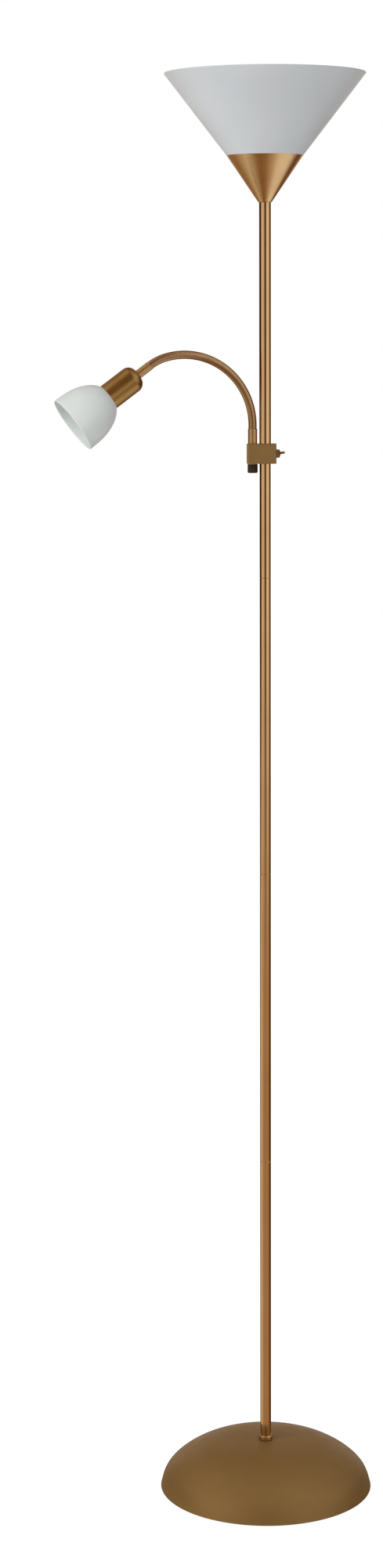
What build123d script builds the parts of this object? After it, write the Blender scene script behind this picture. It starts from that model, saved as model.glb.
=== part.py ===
from build123d import *
import math
import os

os.makedirs("parts", exist_ok=True)

# A torchiere floor lamp with a reading light on a bendable neck, in millimetres.
# The origin is on the floor under the pole, +Z up the pole. The arm leaves the
# switch block towards -X, turned a little towards -Y, which is the front.

# Sizes that are set by themselves, from the floor up

# Fits
thread_gap = 0.05          # radial, in a screwed or pressed joint
running_gap = 0.06         # radial, round a turning pin or ball
moving_gap = 0.3           # between faces that stay apart

# Base
base_radius = 137.0
crown_height = 62.0        # top of the dome, where the pole stands
crown_flat_radius = 14.0
shoulder_inset = 34.0      # from the base's radius
shoulder_height = 44.2
flank_inset = 12.8
flank_height = 28.0
foot_inset = 1.8
foot_height = 8.0
shell_wall = 1.2
shell_lift = 1.0           # the shell's edge stays off the floor
pad_thickness = 4.0
pad_inset = 3.5            # the pad's edge lies this far inside the shell's
weight_inset = 17.0        # the weight's edge lies this far inside the shell's
weight_thickness = 12.0
weight_round = 3.0
weight_recess_radius = 17.0
weight_recess_depth = 6.5
weight_groove = 9.0        # width of the cord's groove
spacer_radius = 11.0

# Inlet for the mains cord, in the rear of the shell
inlet_rise = 11.0          # up the flank from the foot
inlet_body_radius = 5.0
inlet_flange_radius = 7.5
inlet_flange_thickness = 2.0
inlet_lip_radius = 6.0
inlet_lip_thickness = 2.0
inlet_bore_radius = 3.4

# Hollow lamp thread that joins base, pole, block and uplight
thread_radius = 5.0
thread_bore_radius = 3.5
nut_across_flats = 14.0
nut_thickness = 3.0
washer_thickness = 0.8
washer_radius = 8.0

# Pole
tube_radius = 7.0
tube_wall = 1.0
tube_length = 375.0
full_tubes = 3
short_tube_length = 141.8  # the tube that ends under the switch block
upper_tube_radius = 7.3
upper_tube_length = 293.0
tube_edge = 0.4            # bevel on each tube end
insert_length = 14.0
insert_inset = 0.5         # inserts sit this far inside the tube ends
stud_reach = 11.0          # how far a stud enters a tube
collar_radius = 8.8
collar_height = 6.5
collar_round = 1.6

# Switch block
block_left = 22.8          # from the pole's axis to the arm side
block_right = 14.0         # from the pole's axis to the switch side
block_depth = 26.0
block_height = 24.2
block_wall = 2.0
block_floor = 4.0
block_corner = 3.0
block_edge = 0.4
cover_thickness = 2.0
cover_rib = 1.5
web_thickness = 13.8       # solid end of the block that carries the arm
cover_screw_radius = 1.45
cover_screw_head_radius = 2.6
cover_screw_head_height = 1.2
cover_screw_length = 4.6   # in the block
cover_screw_spacing = 14.0
screw_slot = 0.7

# Toggle switch
bushing_radius = 3.2
bushing_reach = 4.9        # out of the block's side
lever_ball_radius = 2.2
lever_radius = 1.35
lever_tip_radius = 1.65
lever_tip_round = 1.4
lever_reach = 9.0          # pivot to tip
lever_pivot_depth = 3.2    # below the bushing's mouth
lever_tilt = 10.0          # degrees above level at rest
lever_tail = 3.4
lever_tail_radius = 0.9
switch_width = 12.0
switch_height = 10.0
switch_length = 13.0
switch_washer_thickness = 0.7
switch_washer_radius = 5.4
switch_nut_flats = 10.0
switch_nut_thickness = 3.4

# Wire connector in the block
connector_length = 6.0
connector_depth = 5.5
connector_height = 12.0
connector_hole_radius = 1.2
connector_hole_spacing = 5.5

# Arm swivel
stem_offset = 15.5         # pole axis to swivel axis
arm_turn = 16.0            # degrees from -X towards the front
shaft_radius = 4.0
shaft_bore_radius = 2.4
shaft_window_radius = 1.8
stem_radius = 5.7
stem_height = 18.0
stem_edge = 0.8
swivel_washer_thickness = 0.8
swivel_washer_radius = 5.6
cap_radius = 6.3
cap_height = 10.5
cap_floor = 2.0
cap_edge = 0.8

# Bendable neck: equal links round one large curve
neck_radius = 5.15
neck_curve_radius = 87.1
neck_rise = 3.3            # straight run above the stem
neck_turn = 120.0          # degrees turned by the whole curve
neck_joints = 8
head_nod = 6.0             # more bend in the last joint
ball_radius = 4.2
waist_radius = 2.8
socket_lip = 0.6           # past the ball's centre
link_gap = 4.0             # from the ball's centre to the link's shoulder
neck_bore_radius = 2.0
neck_plug_radius = 4.2     # the neck's end inside the stem or the ferrule
neck_plug_length = 9.0

# Reading head, measured back from the mouth of its shade
shade_length = 55.6
bell_mouth_radius = 36.5
bell_mouth_draft = 2.0     # degrees
bell_middle_radius = 33.6
bell_middle_back = 29.0
bell_shoulder_radius = 26.0
bell_shoulder_back = 46.2
bell_neck_radius = 16.9
bell_neck_slope = 36.0     # degrees
bell_wall = 2.2
bell_rim_round = 0.9
bell_foot_length = 3.0
cup_radius = 16.5
cup_length = 46.4
cup_wall = 1.2
cup_back_round = 11.0
ferrule_radius = 5.5
ferrule_length = 18.8
head_thread_radius = 4.0
head_thread_bore_radius = 2.4
head_nut_flats = 13.0
small_sleeve_radius = 12.0
small_sleeve_ahead = 0.5   # sleeve past its ring
small_holder_radius = 11.5
small_holder_length = 44.0
small_holder_floor = 5.0
small_flange_thickness = 2.0
small_ring_width = 3.0
small_ring_height = 2.5
small_mouth_radius = 9.6
small_mouth_depth = 11.0
small_socket_radius = 7.2
small_socket_depth = 37.0
small_bulb_radius = 20.0
small_bulb_tip = 11.2      # behind the mouth of the shade
small_bulb_neck_radius = 7.6
small_cap_radius = 6.9
small_cap_length = 22.0

# Both bulbs
bulb_wall = 1.0
bulb_neck_angle = 52.0     # degrees behind the widest place, where the neck begins
contact_radius = 3.5
contact_height = 2.0

# Uplight
bowl_foot_radius = 8.2
bowl_radius = 46.8
bowl_height = 56.0
bowl_wall = 1.2
bowl_nut_flats = 12.0
cone_radius = 123.3
cone_height = 98.0
cone_wall = 3.4
cone_rim_round = 0.5
cone_foot_depth = 3.5
large_holder_radius = 19.5
large_holder_foot_radius = 9.0
large_holder_cone = 17.0
large_holder_clear = 9.0   # its foot above the bowl's foot
large_holder_thread = 6.0
large_flange_radius = 24.0
large_flange_thickness = 2.5
large_ring_width = 4.0
large_ring_height = 4.0
large_sleeve_ahead = 3.0
large_socket_radius = 13.6
large_socket_depth = 27.0
large_bulb_radius = 30.0
large_bulb_height = 78.0
large_bulb_neck_radius = 13.0
large_cap_radius = 13.2
large_cap_length = 24.0

# Levels and places that follow from the sizes

weight_radius = base_radius - weight_inset
weight_bottom = pad_thickness
weight_top = weight_bottom + weight_thickness
recess_top = weight_bottom + weight_recess_depth
tube_ends = [crown_height + number * tube_length for number in range(full_tubes + 1)]
block_bottom = tube_ends[-1] + short_tube_length
block_top = block_bottom + block_height
block_middle = (block_bottom + block_top) / 2
bowl_bottom = block_top + upper_tube_length
bowl_top = bowl_bottom + bowl_height
stem_bottom = block_top + moving_gap + swivel_washer_thickness
stem_top = stem_bottom + stem_height
cap_top = block_bottom - moving_gap - swivel_washer_thickness
cap_bottom = cap_top - cap_height

joint_turn = neck_turn / neck_joints
link_length = 2 * neck_curve_radius * math.tan(math.radians(joint_turn / 2))
half_link = link_length / 2
arm_angle = math.radians(arm_turn)
arm_direction = Vector(-math.cos(arm_angle), -math.sin(arm_angle), 0)
arm_normal = Vector(-math.sin(arm_angle), math.cos(arm_angle), 0)


def leaning(lean):
    """The direction in the arm's upright plane that leans out by lean degrees."""
    angle = math.radians(lean)
    return arm_direction * math.sin(angle) + Vector(0, 0, math.cos(angle))


def arm_section(point, lean):
    """A half section in the arm's upright plane, its y along a piece that leans."""
    return Plane(origin=point, x_dir=leaning(lean).cross(arm_normal), z_dir=arm_normal)


def square_to(direction, point):
    """A plane through a point, square to a direction in the arm's upright plane."""
    return Plane(origin=point, x_dir=arm_normal, z_dir=direction)


def axis_of(section):
    """The axis that a half section is turned about: its own y."""
    return Axis(section.origin, section.y_dir)


def band(inner_radius, outer_radius, low, high, mode=Mode.ADD):
    """A rectangle in a half section, which becomes a ring when it is turned."""
    with Locations(((inner_radius + outer_radius) / 2, (low + high) / 2)):
        Rectangle(outer_radius - inner_radius, high - low, mode=mode)


def ring(outer_radius, inner_radius):
    Circle(outer_radius)
    Circle(inner_radius, mode=Mode.SUBTRACT)


def hex_ring(across_flats, inner_radius):
    RegularPolygon(across_flats / 2, 6, major_radius=False)
    Circle(inner_radius, mode=Mode.SUBTRACT)


def finish(piece, name):
    piece.part.label = name
    export_step(piece.part, f"parts/{name}.step")


# Base

# Spun steel dome, open below
with BuildPart() as base_shell:
    with BuildSketch(Plane.XZ):
        with BuildLine():
            crown = Line((0, crown_height), (crown_flat_radius, crown_height))
            dome = Spline(
                crown @ 1,
                (base_radius - shoulder_inset, shoulder_height),
                (base_radius - flank_inset, flank_height),
                (base_radius - foot_inset, foot_height),
                tangents=[(1, 0), (foot_inset, shell_lift - foot_height)],
            )
            foot = Line(dome @ 1, (base_radius, shell_lift))
            Polyline(foot @ 1, (0, shell_lift), crown @ 0)
        make_face()
    revolve(axis=Axis.Z)
    underside = base_shell.faces().sort_by(Axis.Z)[0]
    offset(amount=-shell_wall, openings=underside, kind=Kind.INTERSECTION)
    with Locations((0, 0, crown_height)):
        Hole(thread_radius + thread_gap, depth=2 * shell_wall)
    # The cord's inlet goes square through the flank, at the rear
    inlet_share = 1 - inlet_rise / dome.length
    inlet_point = dome @ inlet_share
    flank_run = dome % inlet_share
    inlet_plane = Plane(
        origin=(0, inlet_point.X, inlet_point.Y),
        x_dir=(1, 0, 0),
        z_dir=(0, -flank_run.Y, flank_run.X),
    )
    with BuildSketch(inlet_plane):
        Circle(inlet_body_radius + thread_gap)
    extrude(amount=inlet_flange_radius, both=True, mode=Mode.SUBTRACT)
finish(base_shell, "base_shell")

# Soft pad under the whole base
with BuildPart() as base_pad:
    with BuildSketch():
        Circle(base_radius - pad_inset)
    extrude(amount=pad_thickness)
finish(base_pad, "base_pad")

# Cast iron disc that keeps the lamp upright
with BuildPart() as base_weight:
    with BuildSketch(Plane.XY.offset(weight_bottom)):
        ring(weight_radius, thread_radius + thread_gap)
    extrude(amount=weight_thickness)
    rim = base_weight.edges().filter_by(GeomType.CIRCLE).group_by(SortBy.RADIUS)[-1]
    fillet(rim.sort_by(Axis.Z)[-1], weight_round)
    with BuildSketch(Plane.XY.offset(weight_bottom)):
        Circle(weight_recess_radius)
        with Locations((0, weight_radius / 2)):
            Rectangle(weight_groove, weight_radius)
    extrude(amount=weight_recess_depth, mode=Mode.SUBTRACT)
finish(base_weight, "base_weight")

with BuildPart() as base_spacer:
    with BuildSketch(Plane.XY.offset(weight_top)):
        ring(spacer_radius, thread_radius + thread_gap)
    extrude(amount=crown_height - shell_wall - weight_top)
finish(base_spacer, "base_spacer")

nut_top = recess_top - washer_thickness
with BuildPart() as base_washer:
    with BuildSketch(Plane.XY.offset(nut_top)):
        ring(washer_radius, thread_radius + thread_gap)
    extrude(amount=washer_thickness)
finish(base_washer, "base_washer")

with BuildPart() as base_nut:
    with BuildSketch(Plane.XY.offset(nut_top - nut_thickness)):
        hex_ring(nut_across_flats, thread_radius + thread_gap)
    extrude(amount=nut_thickness)
finish(base_nut, "base_nut")

# Hollow threaded tube that holds weight, spacer, shell and pole together
nipple_bottom = nut_top - nut_thickness - washer_thickness
with BuildPart() as base_nipple:
    with BuildSketch(Plane.XY.offset(nipple_bottom)):
        ring(thread_radius, thread_bore_radius)
    extrude(amount=crown_height + stud_reach - nipple_bottom)
finish(base_nipple, "base_nipple")

# Bush that the cord would pass through, snapped into the shell
inlet_wall = shell_wall + 3 * moving_gap
with BuildPart() as cord_inlet_bush:
    with BuildSketch(inlet_plane.offset(moving_gap)):
        ring(inlet_flange_radius, inlet_bore_radius)
    extrude(amount=inlet_flange_thickness)
    with BuildSketch(inlet_plane.offset(moving_gap - inlet_wall)):
        ring(inlet_body_radius, inlet_bore_radius)
    extrude(amount=inlet_wall)
    with BuildSketch(inlet_plane.offset(moving_gap - inlet_wall - inlet_lip_thickness)):
        ring(inlet_lip_radius, inlet_bore_radius)
    extrude(amount=inlet_lip_thickness)
finish(cord_inlet_bush, "cord_inlet_bush")

# Pole

with BuildPart() as pole_collar:
    with BuildSketch(Plane.XY.offset(crown_height)):
        Circle(collar_radius)
    extrude(amount=collar_height)
    fillet(pole_collar.edges(), collar_round)
    with Locations((0, 0, crown_height + collar_height)):
        Hole(tube_radius + thread_gap, depth=collar_height)
finish(pole_collar, "pole_collar")

pole_levels = tube_ends + [block_bottom]
for number, (low, high) in enumerate(zip(pole_levels, pole_levels[1:]), start=1):
    with BuildPart() as pole_tube:
        with BuildSketch(Plane.XY.offset(low)):
            ring(tube_radius, tube_radius - tube_wall)
        extrude(amount=high - low)
        ends = pole_tube.edges().filter_by(GeomType.CIRCLE)
        chamfer(ends.group_by(SortBy.RADIUS)[-1], tube_edge)
    finish(pole_tube, f"pole_tube_{number}")

with BuildPart() as upper_pole_tube:
    with BuildSketch(Plane.XY.offset(block_top)):
        ring(upper_tube_radius, upper_tube_radius - tube_wall)
    extrude(amount=upper_tube_length)
    ends = upper_pole_tube.edges().filter_by(GeomType.CIRCLE)
    chamfer(ends.group_by(SortBy.RADIUS)[-1], tube_edge)
finish(upper_pole_tube, "upper_pole_tube")

# Threaded bushes pressed into both ends of each tube
with BuildPart() as pole_inserts:
    for low, high in zip(pole_levels, pole_levels[1:]):
        for level in (low + insert_inset, high - insert_inset - insert_length):
            with BuildSketch(Plane.XY.offset(level)):
                ring(tube_radius - tube_wall - thread_gap, thread_radius + thread_gap)
            extrude(amount=insert_length)
finish(pole_inserts, "pole_inserts")

with BuildPart() as upper_tube_inserts:
    for level in (block_top + insert_inset, bowl_bottom - insert_inset - insert_length):
        with BuildSketch(Plane.XY.offset(level)):
            ring(upper_tube_radius - tube_wall - thread_gap, thread_radius + thread_gap)
        extrude(amount=insert_length)
finish(upper_tube_inserts, "upper_tube_inserts")

# Hollow studs between the pole's tubes
with BuildPart() as pole_studs:
    for level in tube_ends[1:]:
        with BuildSketch(Plane.XY.offset(level - stud_reach)):
            ring(thread_radius, thread_bore_radius)
        extrude(amount=2 * stud_reach)
finish(pole_studs, "pole_studs")

# Hollow studs that hold the block on the pole, and the upper tube on the block
with BuildPart() as block_studs:
    for level in (block_bottom - stud_reach, block_top - block_floor):
        with BuildSketch(Plane.XY.offset(level)):
            ring(thread_radius, thread_bore_radius)
        extrude(amount=stud_reach + block_floor)
finish(block_studs, "block_studs")

# Switch block

block_rear = block_depth / 2
cover_seat = block_rear - cover_thickness
cavity_left = web_thickness - block_left
cavity_right = block_right - block_wall
cavity_front = block_wall - block_depth / 2
cavity_floor = block_bottom + block_floor
cavity_width = cavity_right - cavity_left
cavity_height = block_height - 2 * block_floor
rear_plane = Plane(
    origin=(-stem_offset, block_rear, block_middle), x_dir=(-1, 0, 0), z_dir=(0, 1, 0)
)
seat_plane = Plane(
    origin=((cavity_left + cavity_right) / 2, cover_seat, block_middle),
    x_dir=(-1, 0, 0),
    z_dir=(0, 1, 0),
)
screw_places = [(0, -cover_screw_spacing / 2), (0, cover_screw_spacing / 2)]


def switch_side(distance):
    """A plane square to the switch's axis, at a distance from the pole's axis."""
    return Plane(origin=(distance, 0, block_middle), x_dir=(0, 1, 0), z_dir=(1, 0, 0))


# Outer form that the block and its cover share
with BuildPart() as block_form:
    with BuildSketch(Plane.XY.offset(block_bottom)):
        with Locations(((block_right - block_left) / 2, 0)):
            RectangleRounded(block_left + block_right, block_depth, block_corner)
    extrude(amount=block_height)
    chamfer(block_form.faces().filter_by(Axis.Z).edges(), block_edge)

# Cast block, open at the rear, solid round the arm's swivel
with BuildPart() as switch_block:
    add(block_form.part)
    split(bisect_by=Plane.XZ.offset(-cover_seat), keep=Keep.TOP)
    with BuildSketch(seat_plane):
        Rectangle(cavity_width, cavity_height)
    extrude(amount=cavity_front - cover_seat, mode=Mode.SUBTRACT)
    with Locations((0, 0, block_top)):
        Hole(thread_radius + thread_gap, depth=block_height)
    with Locations((-stem_offset, 0, block_top)):
        Hole(shaft_radius + running_gap, depth=block_height)
    with BuildSketch(switch_side(-stem_offset)):
        Circle(shaft_window_radius)
    extrude(amount=stem_offset, mode=Mode.SUBTRACT)
    with BuildSketch(switch_side(cavity_right)):
        Circle(bushing_radius + thread_gap)
    extrude(amount=block_wall, mode=Mode.SUBTRACT)
    with BuildSketch(rear_plane):
        with Locations(*screw_places):
            Circle(cover_screw_radius + thread_gap)
    extrude(amount=-(cover_thickness + cover_screw_length), mode=Mode.SUBTRACT)
finish(switch_block, "switch_block")

# Plate that closes the block at the rear, with a rib that fits its opening
with BuildPart() as block_cover:
    add(block_form.part)
    split(bisect_by=Plane.XZ.offset(-cover_seat), keep=Keep.BOTTOM)
    with BuildSketch(seat_plane):
        Rectangle(cavity_width - 2 * moving_gap, cavity_height - 2 * moving_gap)
        offset(amount=-cover_rib, mode=Mode.SUBTRACT)
    extrude(amount=-cover_rib)
    for across, up in screw_places:
        with Locations(rear_plane * Location((across, up))):
            CounterBoreHole(
                cover_screw_radius + thread_gap,
                cover_screw_head_radius + thread_gap,
                cover_screw_head_height,
            )
finish(block_cover, "block_cover")

with BuildPart() as cover_screws:
    with BuildSketch(rear_plane):
        with Locations(*screw_places):
            Circle(cover_screw_head_radius)
    extrude(amount=-cover_screw_head_height)
    with BuildSketch(rear_plane):
        with Locations(*screw_places):
            Circle(cover_screw_radius)
    extrude(amount=-(cover_thickness + cover_screw_length))
    with BuildSketch(rear_plane):
        with Locations(*screw_places):
            Rectangle(2 * cover_screw_head_radius, screw_slot)
    extrude(amount=-cover_screw_head_height / 2, mode=Mode.SUBTRACT)
finish(cover_screws, "cover_screws")

connector_middle = (
    cavity_left + connector_length / 2,
    cavity_front + connector_depth / 2,
    cavity_floor + connector_height / 2,
)
with BuildPart() as wire_connector:
    with Locations(connector_middle):
        Box(connector_length, connector_depth, connector_height)
    with Locations(Plane(origin=connector_middle, x_dir=(1, 0, 0), z_dir=(0, -1, 0))):
        with GridLocations(1, connector_hole_spacing, 1, 2):
            Cylinder(connector_hole_radius, connector_depth, mode=Mode.SUBTRACT)
finish(wire_connector, "wire_connector")

# Toggle switch

bushing_mouth = block_right + bushing_reach
pivot_distance = bushing_mouth - lever_pivot_depth
lever_bore_depth = lever_pivot_depth + lever_tail + lever_tail_radius

with BuildPart() as switch_body:
    with BuildSketch(switch_side(cavity_right)):
        Rectangle(switch_width, switch_height)
    extrude(amount=-switch_length)
    with BuildSketch(switch_side(cavity_right)):
        Circle(bushing_radius)
    extrude(amount=bushing_mouth - cavity_right)
    with BuildSketch(switch_side(bushing_mouth)):
        Circle(lever_ball_radius + running_gap)
    extrude(amount=-lever_bore_depth, mode=Mode.SUBTRACT)
finish(switch_body, "switch_body")

with BuildPart() as switch_washer:
    with BuildSketch(switch_side(block_right)):
        ring(switch_washer_radius, bushing_radius + thread_gap)
    extrude(amount=switch_washer_thickness)
finish(switch_washer, "switch_washer")

with BuildPart() as switch_nut:
    with BuildSketch(switch_side(block_right + switch_washer_thickness)):
        hex_ring(switch_nut_flats, bushing_radius + thread_gap)
    extrude(amount=switch_nut_thickness)
finish(switch_nut, "switch_nut")

# Lever on a ball in the bushing, turned about an axis along Y
lever_angle = math.radians(lever_tilt)
lever_section = Plane(
    origin=(pivot_distance, 0, block_middle),
    x_dir=(-math.sin(lever_angle), 0, math.cos(lever_angle)),
    z_dir=(0, 1, 0),
)
with BuildPart() as switch_lever:
    with BuildSketch(lever_section):
        with BuildLine():
            Polyline(
                (0, 0),
                (lever_radius, 0),
                (lever_tip_radius, lever_reach),
                (0, lever_reach),
                close=True,
            )
        make_face()
        Circle(lever_ball_radius)
        band(0, lever_tail_radius, -lever_tail, 0)
        band(-lever_reach, 0, -lever_reach, lever_reach, mode=Mode.SUBTRACT)
    revolve(axis=axis_of(lever_section))
    fillet(switch_lever.edges().sort_by(axis_of(lever_section))[-1], lever_tip_round)
finish(switch_lever, "switch_lever")

# Arm swivel, turning about the stem's upright axis


def swivel_plane(level):
    return Plane(origin=(-stem_offset, 0, level))


with BuildPart() as arm_stem:
    with BuildSketch(swivel_plane(stem_bottom)):
        Circle(stem_radius)
    extrude(amount=stem_height)
    chamfer(arm_stem.edges().sort_by(Axis.Z)[-1], stem_edge)
    with Locations(swivel_plane(stem_top)):
        CounterBoreHole(
            shaft_radius + thread_gap,
            neck_plug_radius + thread_gap,
            neck_plug_length,
        )
finish(arm_stem, "arm_stem")

# Hollow shaft through the block, which the wires pass through
shaft_bottom = cap_bottom + cap_floor
shaft_top = stem_top - neck_plug_length
with BuildPart() as swivel_shaft:
    with BuildSketch(swivel_plane(shaft_bottom)):
        ring(shaft_radius, shaft_bore_radius)
    extrude(amount=shaft_top - shaft_bottom)
    with BuildSketch(switch_side(-stem_offset)):
        Circle(shaft_window_radius)
    extrude(amount=stem_radius, mode=Mode.SUBTRACT)
finish(swivel_shaft, "swivel_shaft")

with BuildPart() as upper_swivel_washer:
    with BuildSketch(swivel_plane(block_top + moving_gap)):
        ring(swivel_washer_radius, shaft_radius + thread_gap)
    extrude(amount=swivel_washer_thickness)
finish(upper_swivel_washer, "upper_swivel_washer")

with BuildPart() as lower_swivel_washer:
    with BuildSketch(swivel_plane(cap_top)):
        ring(swivel_washer_radius, shaft_radius + thread_gap)
    extrude(amount=swivel_washer_thickness)
finish(lower_swivel_washer, "lower_swivel_washer")

# Moulded cap nut that holds the shaft up against the block
with BuildPart() as swivel_cap:
    with BuildSketch(swivel_plane(cap_bottom)):
        Circle(cap_radius)
    extrude(amount=cap_height)
    chamfer(swivel_cap.edges().sort_by(Axis.Z)[0], cap_edge)
    with Locations(swivel_plane(cap_top)):
        Hole(shaft_radius + thread_gap, depth=cap_height - cap_floor)
finish(swivel_cap, "swivel_cap")

# Neck. The joints lie at the corners of a chain that wraps the neck's curve,
# and each link ends in a socket for the ball of the next.

joint_points = [Vector(-stem_offset, 0, stem_top + neck_rise + half_link)]
for number in range(1, neck_joints):
    joint_points.append(joint_points[-1] + leaning(number * joint_turn) * link_length)
head_lean = neck_turn + head_nod
neck_end = joint_points[-1] + leaning(head_lean) * half_link


def ball_end():
    Circle(ball_radius)
    band(0, waist_radius, 0, link_gap)


def socket_end(distance):
    with Locations((0, distance)):
        Circle(ball_radius + running_gap, mode=Mode.SUBTRACT)


def half_outside(bore_radius):
    """Keep only the half section, outside a bore."""
    reach = 2 * link_length
    band(-reach, bore_radius, -reach, reach, mode=Mode.SUBTRACT)


root_section = arm_section(Vector(-stem_offset, 0, stem_top), 0)
with BuildPart() as neck_root:
    with BuildSketch(root_section):
        band(0, neck_plug_radius, -neck_plug_length, 0)
        band(0, neck_radius, 0, neck_rise + half_link + socket_lip)
        socket_end(neck_rise + half_link)
        half_outside(neck_bore_radius)
    revolve(axis=axis_of(root_section))
finish(neck_root, "neck_root")

for number in range(1, neck_joints):
    link_section = arm_section(joint_points[number - 1], number * joint_turn)
    with BuildPart() as neck_link:
        with BuildSketch(link_section):
            band(0, neck_radius, link_gap, link_length + socket_lip)
            socket_end(link_length)
            ball_end()
            half_outside(neck_bore_radius)
        revolve(axis=axis_of(link_section))
    finish(neck_link, f"neck_link_{number}")

tip_section = arm_section(joint_points[-1], head_lean)
with BuildPart() as neck_tip:
    with BuildSketch(tip_section):
        ball_end()
        band(0, neck_radius, link_gap, half_link)
        band(0, neck_plug_radius, half_link, half_link + neck_plug_length)
        half_outside(neck_bore_radius)
    revolve(axis=axis_of(tip_section))
finish(neck_tip, "neck_tip")

# Reading head, all of it round one axis

head_length = shade_length + cup_length
mouth_centre = neck_end + leaning(head_lean) * (ferrule_length + head_length)
head_back = leaning(head_lean + 180)
head_section = arm_section(mouth_centre, head_lean + 180)
head_axis = axis_of(head_section)


def head_plane(back):
    """A plane square to the head's axis, at a distance behind the shade's mouth."""
    return square_to(head_back, mouth_centre + head_back * back)


with BuildPart() as head_ferrule:
    with BuildSketch(head_plane(head_length)):
        ring(ferrule_radius, head_thread_radius + thread_gap)
    extrude(amount=ferrule_length)
    with BuildSketch(head_plane(head_length + ferrule_length)):
        Circle(neck_plug_radius + thread_gap)
    extrude(amount=-neck_plug_length, mode=Mode.SUBTRACT)
finish(head_ferrule, "head_ferrule")

# Spun cup with a rounded back
with BuildPart() as head_cup:
    with BuildSketch(head_plane(shade_length)):
        Circle(cup_radius)
    extrude(amount=cup_length)
    fillet(head_cup.edges().sort_by(head_axis)[-1], cup_back_round)
    front = head_cup.faces().sort_by(head_axis)[0]
    offset(amount=-cup_wall, openings=front, kind=Kind.INTERSECTION)
    with BuildSketch(head_plane(head_length)):
        Circle(head_thread_radius + thread_gap)
    extrude(amount=-2 * cup_wall, mode=Mode.SUBTRACT)
finish(head_cup, "head_cup")

# Opal glass bell, with a foot that stands in the cup
cup_bore_radius = cup_radius - cup_wall
bell_foot_radius = cup_bore_radius - moving_gap
draft = math.radians(bell_mouth_draft)
slope = math.radians(bell_neck_slope)
with BuildPart() as reading_shade:
    with BuildSketch(head_section):
        with BuildLine():
            bell = Spline(
                (bell_mouth_radius, 0),
                (bell_middle_radius, bell_middle_back),
                (bell_shoulder_radius, bell_shoulder_back),
                (bell_neck_radius, shade_length),
                tangents=[
                    (-math.sin(draft), math.cos(draft)),
                    (-math.cos(slope), math.sin(slope)),
                ],
            )
            Polyline(bell @ 1, (0, shade_length), (0, 0), bell @ 0)
        make_face()
    revolve(axis=head_axis)
    mouth = reading_shade.faces().sort_by(head_axis)[0]
    offset(amount=-bell_wall, openings=mouth, kind=Kind.INTERSECTION)
    fillet(reading_shade.faces().sort_by(head_axis)[0].edges(), bell_rim_round)
    with BuildSketch(head_plane(shade_length)):
        Circle(bell_foot_radius)
    extrude(amount=bell_foot_length)
    with BuildSketch(head_plane(shade_length + bell_foot_length)):
        Circle(small_sleeve_radius + moving_gap)
    extrude(amount=-(bell_foot_length + 2 * bell_wall), mode=Mode.SUBTRACT)
finish(reading_shade, "reading_shade")

# Small lampholder, clamped to the bell by its ring and screwed to the cup
small_flange_front = shade_length + bell_foot_length
bell_floor = shade_length - bell_wall
small_mouth = bell_floor - small_ring_height - small_sleeve_ahead
small_holder_end = small_mouth + small_holder_length
small_body_front = small_flange_front + small_flange_thickness
small_thread_end = small_holder_end - small_holder_floor
with BuildPart() as reading_lampholder:
    with BuildSketch(head_section):
        band(0, small_sleeve_radius, small_mouth, small_flange_front)
        band(0, bell_foot_radius, small_flange_front, small_body_front)
        band(0, small_holder_radius, small_body_front, small_holder_end)
        mouth_end = small_mouth + small_mouth_depth
        band(0, small_mouth_radius, small_mouth, mouth_end, mode=Mode.SUBTRACT)
        socket_floor = small_mouth + small_socket_depth
        band(0, small_socket_radius, small_mouth, socket_floor, mode=Mode.SUBTRACT)
        thread_hole = head_thread_radius + thread_gap
        band(0, thread_hole, small_thread_end, small_holder_end, mode=Mode.SUBTRACT)
    revolve(axis=head_axis)
finish(reading_lampholder, "reading_lampholder")

with BuildPart() as reading_shade_ring:
    with BuildSketch(head_plane(bell_floor - small_ring_height)):
        bore = small_sleeve_radius + thread_gap
        ring(bore + small_ring_width, bore)
    extrude(amount=small_ring_height)
finish(reading_shade_ring, "reading_shade_ring")

head_nut_back = head_length - cup_wall - moving_gap
with BuildPart() as head_nut:
    with BuildSketch(head_plane(head_nut_back - nut_thickness)):
        hex_ring(head_nut_flats, head_thread_radius + thread_gap)
    extrude(amount=nut_thickness)
finish(head_nut, "head_nut")

nipple_end = head_length + ferrule_length - neck_plug_length
with BuildPart() as head_nipple:
    with BuildSketch(head_plane(small_thread_end)):
        ring(head_thread_radius, head_thread_bore_radius)
    extrude(amount=nipple_end - small_thread_end)
finish(head_nipple, "head_nipple")

# Bulbs


def bulb_outline(radius, height, neck_radius):
    """Half of a bulb's glass, with its neck at the bottom and its tip at the top."""
    angle = math.radians(bulb_neck_angle)
    middle = height - radius
    with BuildLine() as outline:
        globe = ThreePointArc(
            (0, height),
            (radius, middle),
            (radius * math.cos(angle), middle - radius * math.sin(angle)),
        )
        neck = Spline(globe @ 1, (neck_radius, 0), tangents=[globe % 1, (0, -1)])
        Polyline(neck @ 1, (0, 0), globe @ 0)
    return outline.line


small_cap_front = small_mouth + small_mouth_depth
small_bulb_section = arm_section(mouth_centre + head_back * small_cap_front, head_lean)
with BuildPart() as reading_bulb_glass:
    with BuildSketch(small_bulb_section):
        small_bulb_height = small_cap_front - small_bulb_tip
        add(bulb_outline(small_bulb_radius, small_bulb_height, small_bulb_neck_radius))
        make_face()
    revolve(axis=axis_of(small_bulb_section))
    neck_face = reading_bulb_glass.faces().sort_by(axis_of(small_bulb_section))[0]
    offset(amount=-bulb_wall, openings=neck_face, kind=Kind.INTERSECTION)
finish(reading_bulb_glass, "reading_bulb_glass")

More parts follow.
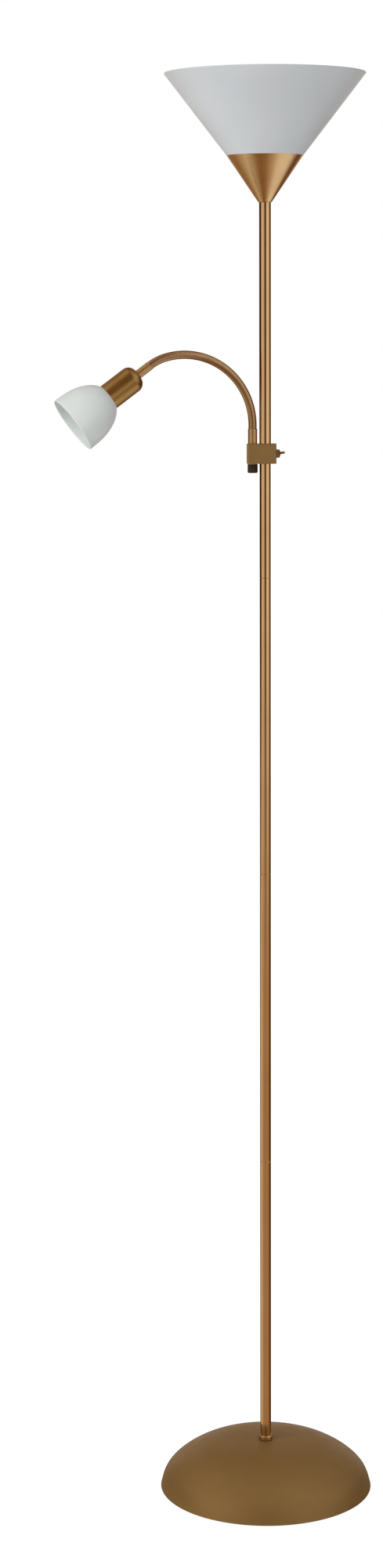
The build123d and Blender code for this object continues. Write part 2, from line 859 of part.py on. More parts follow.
with BuildPart() as reading_bulb_cap:
    with BuildSketch(head_plane(small_cap_front)):
        Circle(small_cap_radius)
    extrude(amount=small_cap_length)
    with BuildSketch(head_plane(small_cap_front + small_cap_length)):
        Circle(contact_radius)
    extrude(amount=contact_height)
finish(reading_bulb_cap, "reading_bulb_cap")

# Uplight

# Spun bowl that carries the glass cone
with BuildPart() as uplight_bowl:
    with BuildSketch(Plane.XZ):
        with BuildLine():
            Polyline(
                (0, bowl_bottom),
                (bowl_foot_radius, bowl_bottom),
                (bowl_radius, bowl_top),
                (0, bowl_top),
                close=True,
            )
        make_face()
    revolve(axis=Axis.Z)
    top = uplight_bowl.faces().sort_by(Axis.Z)[-1]
    offset(amount=-bowl_wall, openings=top, kind=Kind.INTERSECTION)
    with Locations((0, 0, bowl_bottom + bowl_wall)):
        Hole(thread_radius + thread_gap, depth=2 * bowl_wall)
finish(uplight_bowl, "uplight_bowl")

with BuildPart() as bowl_nut:
    with BuildSketch(Plane.XY.offset(bowl_bottom + bowl_wall)):
        hex_ring(bowl_nut_flats, thread_radius + thread_gap)
    extrude(amount=nut_thickness)
finish(bowl_nut, "bowl_nut")

large_holder_foot = bowl_bottom + large_holder_clear
with BuildPart() as uplight_nipple:
    with BuildSketch(Plane.XY.offset(bowl_bottom - stud_reach)):
        ring(thread_radius, thread_bore_radius)
    extrude(amount=stud_reach + large_holder_clear + large_holder_thread)
finish(uplight_nipple, "uplight_nipple")

# Opal glass cone, with a foot that stands in the bowl
bowl_slope = (bowl_radius - bowl_foot_radius) / bowl_height
bowl_skin = bowl_wall * math.hypot(1, bowl_slope)
cone_foot_radius = bowl_radius - bowl_skin - bowl_slope * cone_foot_depth - moving_gap
cone_top = bowl_top + cone_height
with BuildPart() as uplight_shade:
    with BuildSketch(Plane.XZ):
        with BuildLine():
            Polyline(
                (0, bowl_top),
                (bowl_radius, bowl_top),
                (cone_radius, cone_top),
                (0, cone_top),
                close=True,
            )
        make_face()
    revolve(axis=Axis.Z)
    top = uplight_shade.faces().sort_by(Axis.Z)[-1]
    offset(amount=-cone_wall, openings=top, kind=Kind.INTERSECTION)
    fillet(uplight_shade.faces().sort_by(Axis.Z)[-1].edges(), cone_rim_round)
    with BuildSketch(Plane.XY.offset(bowl_top)):
        Circle(cone_foot_radius)
    extrude(amount=-cone_foot_depth)
    with Locations((0, 0, bowl_top + cone_wall)):
        Hole(large_holder_radius + moving_gap, depth=cone_wall + cone_foot_depth)
finish(uplight_shade, "uplight_shade")

# Large lampholder, clamped to the glass by its ring
cone_floor = bowl_top + cone_wall
large_mouth = cone_floor + large_ring_height + large_sleeve_ahead
large_flange_top = bowl_top - cone_foot_depth
large_flange_bottom = large_flange_top - large_flange_thickness
with BuildPart() as uplight_lampholder:
    with BuildSketch(Plane.XZ):
        with BuildLine():
            Polyline(
                (0, large_holder_foot),
                (large_holder_foot_radius, large_holder_foot),
                (large_holder_radius, large_holder_foot + large_holder_cone),
                (large_holder_radius, large_mouth),
                (0, large_mouth),
                close=True,
            )
        make_face()
        band(0, large_flange_radius, large_flange_bottom, large_flange_top)
        band(
            0,
            large_socket_radius,
            large_mouth - large_socket_depth,
            large_mouth,
            mode=Mode.SUBTRACT,
        )
        band(
            0,
            thread_radius + thread_gap,
            large_holder_foot,
            large_holder_foot + large_holder_thread,
            mode=Mode.SUBTRACT,
        )
    revolve(axis=Axis.Z)
finish(uplight_lampholder, "uplight_lampholder")

with BuildPart() as uplight_shade_ring:
    with BuildSketch(Plane.XY.offset(cone_floor)):
        bore = large_holder_radius + thread_gap
        ring(bore + large_ring_width, bore)
    extrude(amount=large_ring_height)
finish(uplight_shade_ring, "uplight_shade_ring")

large_bulb_section = Plane(origin=(0, 0, large_mouth), x_dir=(1, 0, 0), z_dir=(0, -1, 0))
with BuildPart() as uplight_bulb_glass:
    with BuildSketch(large_bulb_section):
        add(bulb_outline(large_bulb_radius, large_bulb_height, large_bulb_neck_radius))
        make_face()
    revolve(axis=axis_of(large_bulb_section))
    neck_face = uplight_bulb_glass.faces().sort_by(Axis.Z)[0]
    offset(amount=-bulb_wall, openings=neck_face, kind=Kind.INTERSECTION)
finish(uplight_bulb_glass, "uplight_bulb_glass")

with BuildPart() as uplight_bulb_cap:
    with BuildSketch(Plane.XY.offset(large_mouth)):
        Circle(large_cap_radius)
    extrude(amount=-large_cap_length)
    with BuildSketch(Plane.XY.offset(large_mouth - large_cap_length)):
        Circle(contact_radius)
    extrude(amount=-contact_height)
finish(uplight_bulb_cap, "uplight_bulb_cap")
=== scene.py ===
import math

import bmesh
import bpy
from mathutils import Matrix, Vector


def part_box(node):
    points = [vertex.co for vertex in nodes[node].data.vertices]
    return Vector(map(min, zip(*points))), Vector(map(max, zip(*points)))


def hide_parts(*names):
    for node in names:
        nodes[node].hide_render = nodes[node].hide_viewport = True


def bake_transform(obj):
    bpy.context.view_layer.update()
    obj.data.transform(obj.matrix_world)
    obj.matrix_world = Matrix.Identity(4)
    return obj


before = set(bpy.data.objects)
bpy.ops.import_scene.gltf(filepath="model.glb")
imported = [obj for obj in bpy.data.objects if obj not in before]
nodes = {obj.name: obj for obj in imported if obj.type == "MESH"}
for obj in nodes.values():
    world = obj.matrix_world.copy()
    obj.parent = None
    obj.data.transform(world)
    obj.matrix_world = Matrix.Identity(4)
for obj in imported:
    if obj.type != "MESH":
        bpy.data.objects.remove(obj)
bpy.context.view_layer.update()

# ---------------------------------------------------------------------------
# Camera
# A long lens a little above the reading light and tilted down, so that the
# dome is seen from above and the glass cone from below its rim.
# ---------------------------------------------------------------------------

camera_place = Vector((0.0, -3.629, 1.497))
camera_yaw = math.radians(-1.469)
camera_pitch = math.radians(8.92)
camera_roll = math.radians(-0.262)

camera = bpy.data.objects.new("camera", bpy.data.cameras.new("camera"))
bpy.context.scene.collection.objects.link(camera)
bpy.context.scene.camera = camera
camera.data.sensor_width = 36.0
camera.data.lens = 66.97
camera.data.clip_end = 40.0

looking = Vector((math.sin(camera_yaw) * math.cos(camera_pitch),
                  math.cos(camera_yaw) * math.cos(camera_pitch),
                  -math.sin(camera_pitch)))
level_right = Vector((math.cos(camera_yaw), -math.sin(camera_yaw), 0.0))
level_up = level_right.cross(looking)
right = math.cos(camera_roll) * level_right + math.sin(camera_roll) * level_up
up = -math.sin(camera_roll) * level_right + math.cos(camera_roll) * level_up
camera.matrix_world = Matrix.Translation(camera_place) @ Matrix((right, up, -looking)).transposed().to_4x4()

# ---------------------------------------------------------------------------
# Studio
# A white paper floor and backdrop with a tall soft light on each side. Metal
# mirrors a painted reflection of a room with dark gaps, seen by glossy rays only,
# which draws the long dark lines in a tube.
# ---------------------------------------------------------------------------

bpy.context.scene.view_settings.view_transform = "Standard"


def sees_backdrop(tree):
    """1 for a ray from the camera, from glossy metal or through glass, else 0."""
    path = tree.nodes.new("ShaderNodeLightPath")
    either = tree.nodes.new("ShaderNodeMath")
    either.operation = "MAXIMUM"
    tree.links.new(path.outputs["Is Camera Ray"], either.inputs[0])
    tree.links.new(path.outputs["Is Glossy Ray"], either.inputs[1])
    any_of = tree.nodes.new("ShaderNodeMath")
    any_of.operation = "MAXIMUM"
    tree.links.new(either.outputs[0], any_of.inputs[0])
    tree.links.new(path.outputs["Is Transmission Ray"], any_of.inputs[1])
    return any_of.outputs[0]


white = (1.0, 1.0, 1.0, 1.0)
room_light = 0.50

# Bearing round the lamp in degrees, 0 at the front and positive to the right,
# and how bright the painted reflection of a room is there, which only glossy rays
# see: on the walls at the lamp's height, low down on them, on the floor and on
# the ceiling
walls_level = ((-180, 0.75), (-156, 0.75), (-142, 0.06), (-92, 0.05), (-76, 0.70), (-58, 0.95), (-34, 0.80),
               (-16, 0.70), (-6, 0.08), (9, 0.05), (20, 0.45), (33, 1.0), (58, 1.0), (78, 0.85), (94, 0.45),
               (112, 0.08), (142, 0.06), (156, 0.75), (180, 0.75))
walls_low = ((-180, 0.32), (-150, 0.36), (-122, 0.42), (-102, 0.86), (-78, 0.82), (-56, 0.53), (0, 0.49),
             (50, 0.50), (74, 0.38), (96, 0.15), (135, 0.12), (156, 0.30), (180, 0.32))
mirrored_floor_levels = ((-180, 0.20), (-156, 0.24), (-128, 0.44), (-106, 0.62), (-80, 0.95), (-60, 0.44), (-32, 0.28),
               (0, 0.34), (46, 0.60), (72, 0.98), (110, 1.0), (126, 0.72), (148, 0.22), (180, 0.20))
ceiling = ((-180, 0.30), (-115, 0.60), (-85, 0.85), (-45, 0.80), (-20, 0.32), (15, 0.30), (40, 0.85),
           (90, 1.0), (130, 0.50), (180, 0.30))

# Height of the mirrored direction, and how much of it is the room of that height
low_share = ((-1.0, 0.0), (-0.62, 0.0), (-0.44, 1.0), (-0.24, 1.0), (-0.08, 0.0), (1.0, 0.0))
floor_share = ((-1.0, 1.0), (-0.62, 1.0), (-0.44, 0.0), (1.0, 0.0))
ceiling_share = ((-1.0, 0.0), (0.22, 0.0), (0.50, 1.0), (1.0, 1.0))

# Powers of a wall's level that give its green and its blue
green_power = 1.5
blue_power = 2.1

world = bpy.data.worlds.new("studio_room")
bpy.context.scene.world = world
world.use_nodes = True
room = world.node_tree
room.nodes.clear()
room_output = room.nodes.new("ShaderNodeOutputWorld")
soft_room = room.nodes.new("ShaderNodeBackground")
soft_room.inputs["Color"].default_value = white
soft_room.inputs["Strength"].default_value = room_light
backdrop = room.nodes.new("ShaderNodeBackground")
backdrop.inputs["Strength"].default_value = 1.0
room_mix = room.nodes.new("ShaderNodeMixShader")
room.links.new(sees_backdrop(room), room_mix.inputs["Fac"])
room.links.new(soft_room.outputs[0], room_mix.inputs[1])
room.links.new(backdrop.outputs[0], room_mix.inputs[2])
room.links.new(room_mix.outputs[0], room_output.inputs["Surface"])


def room_ramp(share, stops, low, high):
    """A smooth ramp of warm greys for the painted reflection: the darker a wall, the browner it is."""
    ramp = room.nodes.new("ShaderNodeValToRGB")
    ramp.color_ramp.interpolation = "EASE"
    while len(ramp.color_ramp.elements) < len(stops):
        ramp.color_ramp.elements.new(0.5)
    for stop, (place, level) in zip(ramp.color_ramp.elements, stops):
        stop.position = (place - low) / (high - low)
        stop.color = (level, level ** green_power, level ** blue_power, 1.0)
    room.links.new(share, ramp.inputs["Fac"])
    return ramp.outputs["Color"]


def room_share(value, low, high):
    """Where a value lies between low and high, 0 to 1."""
    share = room.nodes.new("ShaderNodeMapRange")
    share.inputs["From Min"].default_value = low
    share.inputs["From Max"].default_value = high
    room.links.new(value, share.inputs["Value"])
    return share.outputs["Result"]


def room_blend(share, first, second):
    """The first colour where the share is 0 and the second where it is 1."""
    blend = room.nodes.new("ShaderNodeMix")
    blend.data_type = "RGBA"
    room.links.new(share, blend.inputs["Factor"])
    for socket, colour in (("A", first), ("B", second)):
        if isinstance(colour, tuple):
            blend.inputs[socket].default_value = colour
        else:
            room.links.new(colour, blend.inputs[socket])
    return blend.outputs["Result"]


direction = room.nodes.new("ShaderNodeTexCoord")
split = room.nodes.new("ShaderNodeSeparateXYZ")
room.links.new(direction.outputs["Generated"], split.inputs[0])
towards_front = room.nodes.new("ShaderNodeMath")
towards_front.operation = "MULTIPLY"
towards_front.inputs[1].default_value = -1.0
room.links.new(split.outputs["Y"], towards_front.inputs[0])
ray_bearing = room.nodes.new("ShaderNodeMath")
ray_bearing.operation = "ARCTAN2"
room.links.new(split.outputs["X"], ray_bearing.inputs[0])
room.links.new(towards_front.outputs[0], ray_bearing.inputs[1])
bearing_share = room_share(ray_bearing.outputs[0], -math.pi, math.pi)
height_share = room_share(split.outputs["Z"], -1.0, 1.0)
mirrored_room = room_ramp(bearing_share, walls_level, -180, 180)
for heights, levels in ((low_share, walls_low), (floor_share, mirrored_floor_levels), (ceiling_share, ceiling)):
    mirrored_room = room_blend(room_ramp(height_share, heights, -1.0, 1.0), mirrored_room,
                               room_ramp(bearing_share, levels, -180, 180))
# Glossy rays alone see this room, while camera and transmission rays see plain white: a painted reflection.
mirrored = room.nodes.new("ShaderNodeLightPath")
room.links.new(room_blend(mirrored.outputs["Is Glossy Ray"], white, mirrored_room), backdrop.inputs["Color"])

# The paper glows for the rays that see the backdrop. That makes it white in the
# picture, and what it lacks of a full glow keeps the lamp's shadow
paper_white = (0.9, 0.9, 0.9, 1.0)
paper_roughness = 0.9
glow_strength = 1.16
glow_share = 0.80

paper = bpy.data.materials.new("white_paper")
paper.use_nodes = True
paper_tree = paper.node_tree
paper_shader = paper_tree.nodes["Principled BSDF"]
paper_shader.inputs["Base Color"].default_value = paper_white
paper_shader.inputs["Roughness"].default_value = paper_roughness
paper_shader.inputs["Specular IOR Level"].default_value = 0.0
paper_glow = paper_tree.nodes.new("ShaderNodeEmission")
paper_glow.inputs["Strength"].default_value = glow_strength
paper_share = paper_tree.nodes.new("ShaderNodeMath")
paper_share.operation = "MULTIPLY"
paper_share.inputs[1].default_value = glow_share
paper_mix = paper_tree.nodes.new("ShaderNodeMixShader")
paper_tree.links.new(sees_backdrop(paper_tree), paper_share.inputs[0])
paper_tree.links.new(paper_share.outputs[0], paper_mix.inputs["Fac"])
paper_tree.links.new(paper_shader.outputs[0], paper_mix.inputs[1])
paper_tree.links.new(paper_glow.outputs[0], paper_mix.inputs[2])
paper_tree.links.new(paper_mix.outputs[0], paper_tree.nodes["Material Output"].inputs["Surface"])

floor_half = 9.0
floor_mesh = bpy.data.meshes.new("studio_floor")
floor_mesh.from_pydata([(-floor_half, -floor_half, 0.0), (floor_half, -floor_half, 0.0),
                        (floor_half, floor_half, 0.0), (-floor_half, floor_half, 0.0)],
                       [], [(0, 1, 2, 3)])
floor_mesh.materials.append(paper)
studio_floor = bpy.data.objects.new("studio_floor", floor_mesh)
bpy.context.scene.collection.objects.link(studio_floor)
studio_floor.visible_glossy = False

lit_height = 1.1


def soft_light(name, bearing, distance, height, width, tall, power):
    """A tall soft light at a bearing round the lamp, 0 at the front and positive to the right."""
    lamp = bpy.data.lights.new(name, "AREA")
    lamp.shape = "RECTANGLE"
    lamp.size = width
    lamp.size_y = tall
    lamp.energy = power
    light = bpy.data.objects.new(name, lamp)
    bpy.context.scene.collection.objects.link(light)
    angle = math.radians(bearing)
    light.location = (math.sin(angle) * distance, -math.cos(angle) * distance, height)
    aim = Vector((0.0, 0.0, lit_height)) - light.location
    light.rotation_mode = "QUATERNION"
    light.rotation_quaternion = aim.to_track_quat("-Z", "Y")
    light.visible_glossy = False


soft_light("left_softbox", bearing=-48.0, distance=2.7, height=2.0, width=2.2, tall=3.2, power=48.0)
soft_light("right_softbox", bearing=64.0, distance=2.9, height=1.8, width=1.3, tall=3.2, power=8.5)

# ---------------------------------------------------------------------------
# Dome
# A sheet steel disc spun over a former into a low dome, which leaves faint
# rings round its axis, and sprayed with a satin bronze lacquer.
# ---------------------------------------------------------------------------


def new_finish(name, metallic, roughness=None, specular=None):
    """A finish and its nodes, ready for its own colour and grain."""
    finish = bpy.data.materials.new(name)
    finish.use_nodes = True
    sockets = finish.node_tree.nodes["Principled BSDF"].inputs
    sockets["Metallic"].default_value = metallic
    if roughness is not None:
        sockets["Roughness"].default_value = roughness
    if specular is not None:
        sockets["Specular IOR Level"].default_value = specular
    return finish, finish.node_tree


def grain(tree, scale, detail=4.0, stretch=(1.0, 1.0, 1.0)):
    """Noise over the piece's own coordinates, in cycles per metre, 0 to 1."""
    place = tree.nodes.new("ShaderNodeTexCoord")
    stretched = tree.nodes.new("ShaderNodeMapping")
    stretched.inputs["Scale"].default_value = stretch
    noise = tree.nodes.new("ShaderNodeTexNoise")
    noise.inputs["Scale"].default_value = scale
    noise.inputs["Detail"].default_value = detail
    tree.links.new(place.outputs["Object"], stretched.inputs["Vector"])
    tree.links.new(stretched.outputs["Vector"], noise.inputs["Vector"])
    return noise.outputs["Fac"]


# The part of the noise's range, 0 to 1, over which a colour or roughness changes
grain_low = 0.3
grain_high = 0.7


def colour_between(tree, share, dark, light):
    """The finish's colour goes from dark to light over the middle of the grain."""
    ramp = tree.nodes.new("ShaderNodeValToRGB")
    ramp.color_ramp.elements[0].position = grain_low
    ramp.color_ramp.elements[0].color = (*dark, 1.0)
    ramp.color_ramp.elements[1].position = grain_high
    ramp.color_ramp.elements[1].color = (*light, 1.0)
    tree.links.new(share, ramp.inputs["Fac"])
    tree.links.new(ramp.outputs["Color"], tree.nodes["Principled BSDF"].inputs["Base Color"])


def roughness_between(tree, share, low, high):
    """The finish's roughness goes from low to high over the middle of the grain."""
    spread = tree.nodes.new("ShaderNodeMapRange")
    spread.inputs["From Min"].default_value = grain_low
    spread.inputs["From Max"].default_value = grain_high
    spread.inputs["To Min"].default_value = low
    spread.inputs["To Max"].default_value = high
    tree.links.new(share, spread.inputs["Value"])
    tree.links.new(spread.outputs["Result"], tree.nodes["Principled BSDF"].inputs["Roughness"])


def raise_by(tree, share, depth):
    """Bump of a depth in metres from the grain, on top of any that is there."""
    bump = tree.nodes.new("ShaderNodeBump")
    bump.inputs["Distance"].default_value = depth
    bump.inputs["Strength"].default_value = 1.0
    tree.links.new(share, bump.inputs["Height"])
    normal = tree.nodes["Principled BSDF"].inputs["Normal"]
    for link in list(normal.links):
        tree.links.new(link.from_socket, bump.inputs["Normal"])
    tree.links.new(bump.outputs["Normal"], normal)


def dress(finish, *names):
    """Puts a finish on the model's own pieces."""
    for name in names:
        piece = nodes[name]
        piece.data.materials.clear()
        piece.data.materials.append(finish)


spun_bronze, tree = new_finish("spun_bronze", metallic=0.35, specular=0.15)
colour_between(tree, grain(tree, scale=9.0), dark=(0.245, 0.138, 0.044), light=(0.275, 0.159, 0.053))
roughness_between(tree, grain(tree, scale=60.0), low=0.41, high=0.48)
spin_marks = tree.nodes.new("ShaderNodeTexWave")
spin_marks.wave_type = "RINGS"
spin_marks.rings_direction = "Z"
spin_marks.inputs["Scale"].default_value = 180.0
spin_marks.inputs["Distortion"].default_value = 1.5
spin_marks.inputs["Detail"].default_value = 2.0
spin_place = tree.nodes.new("ShaderNodeTexCoord")
tree.links.new(spin_place.outputs["Object"], spin_marks.inputs["Vector"])
raise_by(tree, spin_marks.outputs["Fac"], depth=0.00001)
raise_by(tree, grain(tree, scale=700.0), depth=0.000012)
dress(spun_bronze, "base_shell")

# ---------------------------------------------------------------------------
# Inlet bush
# A small black bush, moulded in plastic and pressed into the hole low in the
# dome's rear, where it lines the hole's edge.
# ---------------------------------------------------------------------------

black_moulding, tree = new_finish("black_moulding", metallic=0.0, roughness=0.42, specular=0.15)
colour_between(tree, grain(tree, scale=90.0), dark=(0.030, 0.017, 0.006), light=(0.046, 0.028, 0.011))
raise_by(tree, grain(tree, scale=600.0, detail=2.0), depth=0.00001)
dress(black_moulding, "cord_inlet_bush")

# ---------------------------------------------------------------------------
# Weight and pad
# A raw iron casting under the dome holds the lamp down. Its skin is pitted and
# dipped in black, and a foam rubber pad is glued under it.
# ---------------------------------------------------------------------------

dipped_iron, tree = new_finish("dipped_iron", metallic=0.2, roughness=0.62)
colour_between(tree, grain(tree, scale=45.0), dark=(0.022, 0.021, 0.020), light=(0.055, 0.050, 0.046))
raise_by(tree, grain(tree, scale=260.0, detail=8.0), depth=0.00035)
dress(dipped_iron, "base_weight")

foam_rubber, tree = new_finish("foam_rubber", metallic=0.0, roughness=0.88)
colour_between(tree, grain(tree, scale=30.0), dark=(0.030, 0.030, 0.030), light=(0.050, 0.049, 0.048))
foam_cells = tree.nodes.new("ShaderNodeTexVoronoi")
foam_cells.inputs["Scale"].default_value = 900.0
foam_place = tree.nodes.new("ShaderNodeTexCoord")
tree.links.new(foam_place.outputs["Object"], foam_cells.inputs["Vector"])
raise_by(tree, foam_cells.outputs["Distance"], depth=0.0003)
dress(foam_rubber, "base_pad")

# ---------------------------------------------------------------------------
# Steel fixings
# Zinc plated nuts, washers, spacers, tube inserts, studs and screws. They are
# stock turned parts, and most are out of sight inside the tubes.
# ---------------------------------------------------------------------------

bright_zinc, tree = new_finish("bright_zinc", metallic=1.0)
colour_between(tree, grain(tree, scale=120.0), dark=(0.50, 0.50, 0.48), light=(0.66, 0.66, 0.63))
roughness_between(tree, grain(tree, scale=400.0), low=0.26, high=0.42)
raise_by(tree, grain(tree, scale=2200.0, detail=2.0), depth=0.00001)
dress(bright_zinc, "base_spacer", "base_washer", "base_nut", "base_nipple", "pole_inserts",
      "upper_tube_inserts", "pole_studs", "block_studs", "cover_screws", "bowl_nut", "uplight_nipple",
      "head_nut", "head_nipple")

# ---------------------------------------------------------------------------
# Collar
# A small ring turned from brass bar and lacquered. It slips over the foot of
# the pole, and sits on the dome round the pole's hole.
# ---------------------------------------------------------------------------

turned_brass, tree = new_finish("turned_brass", metallic=1.0)
colour_between(tree, grain(tree, scale=40.0), dark=(0.52, 0.345, 0.168), light=(0.59, 0.395, 0.196))
turning_marks = grain(tree, scale=1.0, detail=3.0, stretch=(60.0, 60.0, 1600.0))
roughness_between(tree, turning_marks, low=0.34, high=0.42)
dress(turned_brass, "pole_collar")

# ---------------------------------------------------------------------------
# Pole
# Five lengths of steel tube, brushed along their length, plated in antique
# brass and lacquered. They butt on hidden studs, so only fine lines show.
# ---------------------------------------------------------------------------

brass_dark = (0.60, 0.400, 0.195)
brass_light = (0.67, 0.455, 0.230)

satin_brass, tree = new_finish("satin_brass", metallic=1.0)
colour_between(tree, grain(tree, scale=14.0), brass_dark, brass_light)
brush_marks = grain(tree, scale=1.0, detail=3.0, stretch=(260.0, 260.0, 3.0))
roughness_between(tree, brush_marks, low=0.11, high=0.15)
dress(satin_brass, "pole_tube_1", "pole_tube_2", "pole_tube_3", "pole_tube_4", "upper_pole_tube")

# ---------------------------------------------------------------------------
# Switch block
# A folded and sprayed metal box that joins the pole, the arm and the switch.
# Its rear cover is held by two small slotted screws.
# ---------------------------------------------------------------------------

sprayed_bronze, tree = new_finish("sprayed_bronze", metallic=0.20)
colour_between(tree, grain(tree, scale=40.0), dark=(0.222, 0.127, 0.038), light=(0.252, 0.145, 0.045))
roughness_between(tree, grain(tree, scale=300.0), low=0.40, high=0.52)
raise_by(tree, grain(tree, scale=500.0, detail=2.0), depth=0.00001)
dress(sprayed_bronze, "switch_block", "block_cover")

# ---------------------------------------------------------------------------
# Switch
# A small toggle switch: a black moulded body inside the block, and outside it
# a washer, a hex nut and a turned lever, all plated to match.
# ---------------------------------------------------------------------------

plated_switch, tree = new_finish("plated_switch", metallic=1.0)
colour_between(tree, grain(tree, scale=220.0), dark=(0.36, 0.235, 0.110), light=(0.47, 0.315, 0.155))
roughness_between(tree, grain(tree, scale=900.0), low=0.24, high=0.38)
dress(plated_switch, "switch_nut", "switch_washer", "switch_lever")
dress(black_moulding, "switch_body")

# ---------------------------------------------------------------------------
# Arm swivel
# A turned brass stem stands on the block and carries the neck. A hollow shaft
# below it turns in the block, and a black cap and fibre washer keep it there.
# ---------------------------------------------------------------------------

dress(turned_brass, "arm_stem", "swivel_shaft", "upper_swivel_washer")
dress(black_moulding, "swivel_cap")

pale_fibre, tree = new_finish("pale_fibre", metallic=0.0, roughness=0.70)
colour_between(tree, grain(tree, scale=300.0), dark=(0.46, 0.38, 0.27), light=(0.60, 0.52, 0.40))
raise_by(tree, grain(tree, scale=1500.0), depth=0.00004)
dress(pale_fibre, "lower_swivel_washer")

# ---------------------------------------------------------------------------
# Bendable neck
# One tube wound from steel wire and plated. It is made here in one piece over
# each joint, from mid link to mid link.
# ---------------------------------------------------------------------------

wound_wire, tree = new_finish("wound_wire", metallic=1.0)
colour_between(tree, grain(tree, scale=60.0), dark=(0.38, 0.238, 0.120), light=(0.44, 0.280, 0.144))
roughness_between(tree, grain(tree, scale=500.0, detail=2.0), low=0.26, high=0.34)

neck_radius = 0.00515
wire_groove = 0.00006
wire_pitch = 0.0018
stem_offset = 0.0155                            # from the pole's axis to the stem's
rise = 0.0033                                   # straight run above the stem
arm_bearing = math.radians(16.0)                # of the arm, from straight left to the front
curve_radius = 0.0871
link_turn = math.radians(15.0)                  # of the curve at each joint but the last
head_turn = math.radians(21.0)                  # and at the last one
links = 7
joint_turns = [link_turn] * links + [head_turn]
link_half = curve_radius * math.tan(link_turn / 2)
rings_per_turn = 56
rise_rings = 12
neck_sides = 32

outward = Vector((-math.cos(arm_bearing), -math.sin(arm_bearing), 0.0))
sideways = Vector((-math.sin(arm_bearing), math.cos(arm_bearing), 0.0))
upward = Vector((0.0, 0.0, 1.0))

neck_stands_for = [["neck_root"]] + [[f"neck_link_{number}"] for number in range(1, links)]
neck_stands_for += [[f"neck_link_{links}", "neck_tip"]]

middle = Vector((-stem_offset, 0.0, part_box("arm_stem")[1].z + rise))
lean = 0.0
run = 0.0

for number, turn in enumerate(joint_turns):
    bend_radius = link_half / math.tan(turn / 2)
    stations = [(turn * step / rings_per_turn, 0.0) for step in range(rings_per_turn + 1)]
    if number == 0:
        stations = [(0.0, rise * (1 - step / rise_rings)) for step in range(rise_rings)] + stations

    shape = bmesh.new()
    rings = []
    for turned, below in stations:
        ahead = lean + turned
        centre = (middle + outward * bend_radius * (math.cos(lean) - math.cos(ahead))
                  + upward * (bend_radius * (math.sin(ahead) - math.sin(lean)) - below))
        across = outward * math.cos(ahead) - upward * math.sin(ahead)
        along = run + bend_radius * turned - below
        ring = []
        for side in range(neck_sides):
            around = 2 * math.pi * side / neck_sides
            wire = math.cos(2 * math.pi * along / wire_pitch - around)
            radius = neck_radius - wire_groove * (0.5 - 0.5 * wire)
            spoke = across * math.cos(around) + sideways * math.sin(around)
            ring.append(shape.verts.new(centre + spoke * radius))
        rings.append(ring)
    for ring, after in zip(rings, rings[1:]):
        for side in range(neck_sides):
            beside = (side + 1) % neck_sides
            shape.faces.new((ring[side], ring[beside], after[beside], after[side])).smooth = True
    bmesh.ops.recalc_face_normals(shape, faces=shape.faces)

    sleeve_mesh = bpy.data.meshes.new(f"neck_sleeve_{number + 1}")
    shape.to_mesh(sleeve_mesh)
    shape.free()
    sleeve_mesh.materials.append(wound_wire)
    sleeve = bpy.data.objects.new(f"neck_sleeve_{number + 1}", sleeve_mesh)
    bpy.context.scene.collection.objects.link(sleeve)
    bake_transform(sleeve)
    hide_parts(*neck_stands_for[number])

    middle = centre
    lean += turn
    run += bend_radius * turn

# ---------------------------------------------------------------------------
# Reading cup
# A drawn brass cup with a rounded end, lacquered a little duller than the
# pole. A turned ferrule in that end takes the end of the neck.
# ---------------------------------------------------------------------------

dress(turned_brass, "head_ferrule")

drawn_brass, tree = new_finish("drawn_brass", metallic=1.0)
colour_between(tree, grain(tree, scale=20.0), dark=(0.34, 0.202, 0.068), light=(0.40, 0.238, 0.082))
roughness_between(tree, grain(tree, scale=90.0), low=0.29, high=0.35)
dress(drawn_brass, "head_cup")

# ---------------------------------------------------------------------------
# Lampholders and wire connector
# White moulded plastic. A ring screws onto each holder and clamps its glass
# shade, and the connector joins the wires inside the switch block.
# ---------------------------------------------------------------------------

white_moulding, tree = new_finish("white_moulding", metallic=0.0, roughness=0.38)
colour_between(tree, grain(tree, scale=80.0), dark=(0.70, 0.69, 0.66), light=(0.77, 0.76, 0.73))
raise_by(tree, grain(tree, scale=1800.0, detail=2.0), depth=0.00002)
dress(white_moulding, "reading_lampholder", "reading_shade_ring", "uplight_lampholder",
      "uplight_shade_ring", "wire_connector")

# ---------------------------------------------------------------------------
# Bulbs
# Plain globes of frosted glass, a small one in the reading light and a larger
# one in the uplight, each on a nickel plated screw cap.
# ---------------------------------------------------------------------------

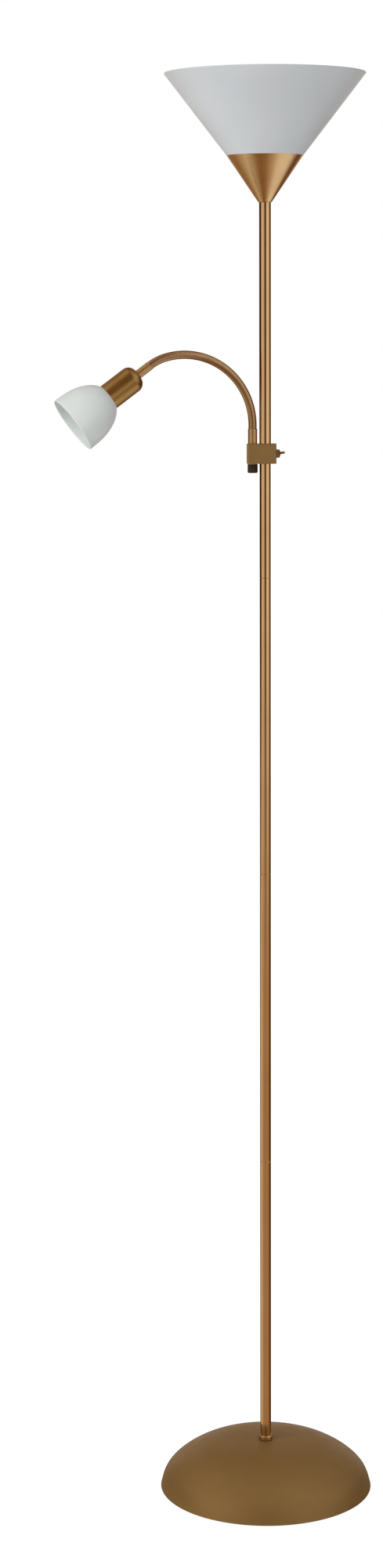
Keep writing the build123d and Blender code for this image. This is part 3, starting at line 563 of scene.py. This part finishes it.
frosted_bulb, tree = new_finish("frosted_bulb", metallic=0.0, roughness=0.28)
colour_between(tree, grain(tree, scale=60.0), dark=(0.80, 0.80, 0.77), light=(0.86, 0.86, 0.83))
dress(frosted_bulb, "reading_bulb_glass", "uplight_bulb_glass")

bulb_screw, tree = new_finish("bulb_screw", metallic=1.0, roughness=0.28)
colour_between(tree, grain(tree, scale=200.0), dark=(0.60, 0.60, 0.58), light=(0.72, 0.72, 0.70))
dress(bulb_screw, "reading_bulb_cap", "uplight_bulb_cap")

# ---------------------------------------------------------------------------
# Glass bell
# The reading light's shade, a small bell of white opal glass with an etched
# skin, open at the front and clamped in the cup by its ring.
# ---------------------------------------------------------------------------

opal_bell, tree = new_finish("opal_bell", metallic=0.0)
colour_between(tree, grain(tree, scale=30.0, detail=2.0),
               dark=(0.710, 0.750, 0.727), light=(0.755, 0.797, 0.771))
roughness_between(tree, grain(tree, scale=250.0), low=0.30, high=0.40)
raise_by(tree, grain(tree, scale=70.0, detail=1.0), depth=0.00002)
dress(opal_bell, "reading_shade")

# ---------------------------------------------------------------------------
# Uplight bowl
# A cone spun from brass sheet and fixed on the end of the pole by a nut. The
# spinning leaves fine rings round it, and the glass cone stands in it.
# ---------------------------------------------------------------------------

spun_brass, tree = new_finish("spun_brass", metallic=1.0)
colour_between(tree, grain(tree, scale=14.0), brass_dark, brass_light)
spinning_marks = grain(tree, scale=1.0, detail=3.0, stretch=(30.0, 30.0, 500.0))
roughness_between(tree, spinning_marks, low=0.21, high=0.28)
dress(spun_brass, "uplight_bowl")

# ---------------------------------------------------------------------------
# Glass cone
# The uplight's shade, a large cone of pressed opal glass, open at the top. It
# drops into the bowl and is clamped by the ring on the lampholder.
# ---------------------------------------------------------------------------

opal_cone, tree = new_finish("opal_cone", metallic=0.0)
colour_between(tree, grain(tree, scale=12.0, detail=2.0),
               dark=(0.60, 0.625, 0.645), light=(0.65, 0.675, 0.69))
roughness_between(tree, grain(tree, scale=200.0), low=0.32, high=0.42)
raise_by(tree, grain(tree, scale=40.0, detail=1.0), depth=0.00003)
dress(opal_cone, "uplight_shade")
